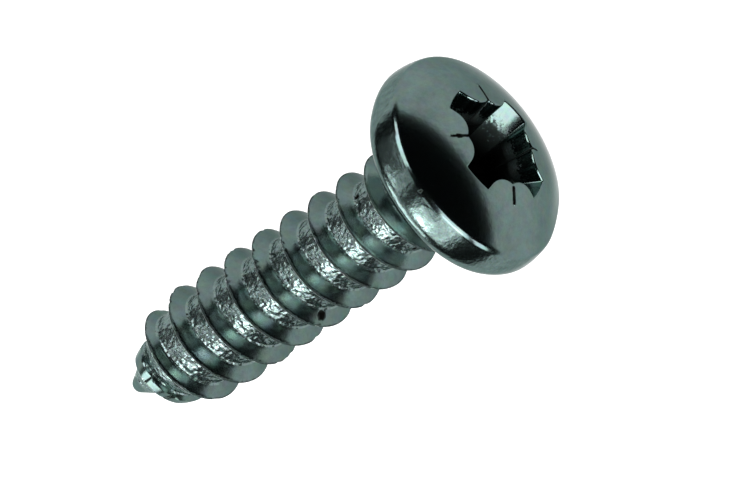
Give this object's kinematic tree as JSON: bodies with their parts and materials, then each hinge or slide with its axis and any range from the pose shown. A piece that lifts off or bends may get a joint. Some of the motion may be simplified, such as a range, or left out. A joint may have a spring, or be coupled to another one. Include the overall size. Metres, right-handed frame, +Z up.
{
  "type": "sheet metal screw",
  "caption": "Self-tapping screw with a pan head, a cross recess with radial marks between its wings, and a coarse thread up to a cone point.",
  "frame": {"origin": "on the table, under the middle of the lying screw's box", "axes": "+X along the screw towards its head, +Z up; the screw's own axis rises about 8.6 degrees towards the head"},
  "size_m": [0.0184, 0.008, 0.0079],
  "materials": {
    "zinc_plate": "bright zinc plate on cold-headed steel, smooth on the head and the flanks, rough in the thread's root"
  },
  "bodies": {
    "root": {"screw": "zinc_plate"}
  },
  "joints": []
}
